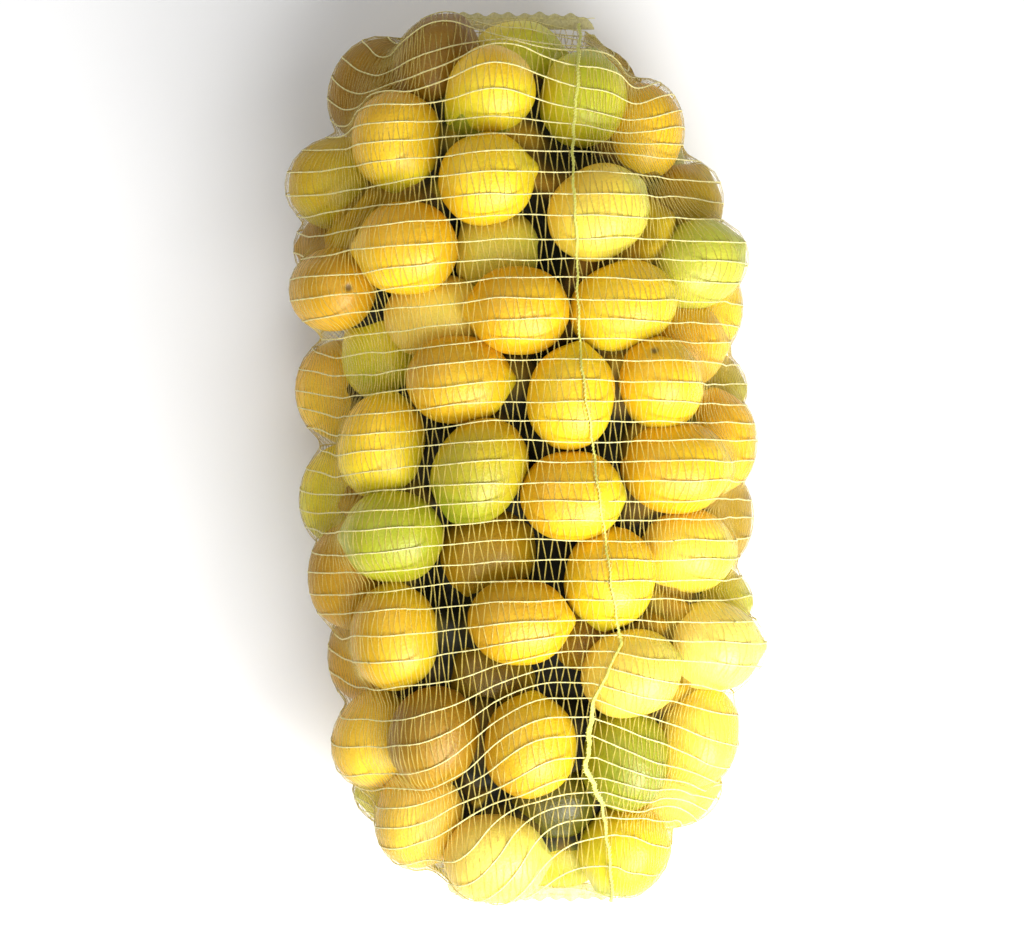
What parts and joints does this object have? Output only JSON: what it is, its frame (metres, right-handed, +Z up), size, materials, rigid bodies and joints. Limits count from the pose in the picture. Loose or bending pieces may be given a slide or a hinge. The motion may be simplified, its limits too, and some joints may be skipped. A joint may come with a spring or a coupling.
{
  "type": "net of lemons",
  "caption": "Long knitted net sack packed tight with lemons, sewn shut at both ends, with a side seam down the shown side, lying flat on its back.",
  "frame": {"origin": "on the floor, below the middle of the sack's box", "axes": "+Y along the sack to its upper end, +Z up out of the shown side, +X to the shown side's right"},
  "size_m": [0.3104, 0.5812, 0.1934],
  "materials": {
    "lemons_under_net": "satin",
    "yellow_rind": "satin",
    "green_rind": "satin",
    "amber_rind": "satin",
    "net_yarn": "satin",
    "seam_band": "satin"
  },
  "bodies": {
    "root": {"net_of_lemons": "lemons_under_net"}
  },
  "joints": []
}
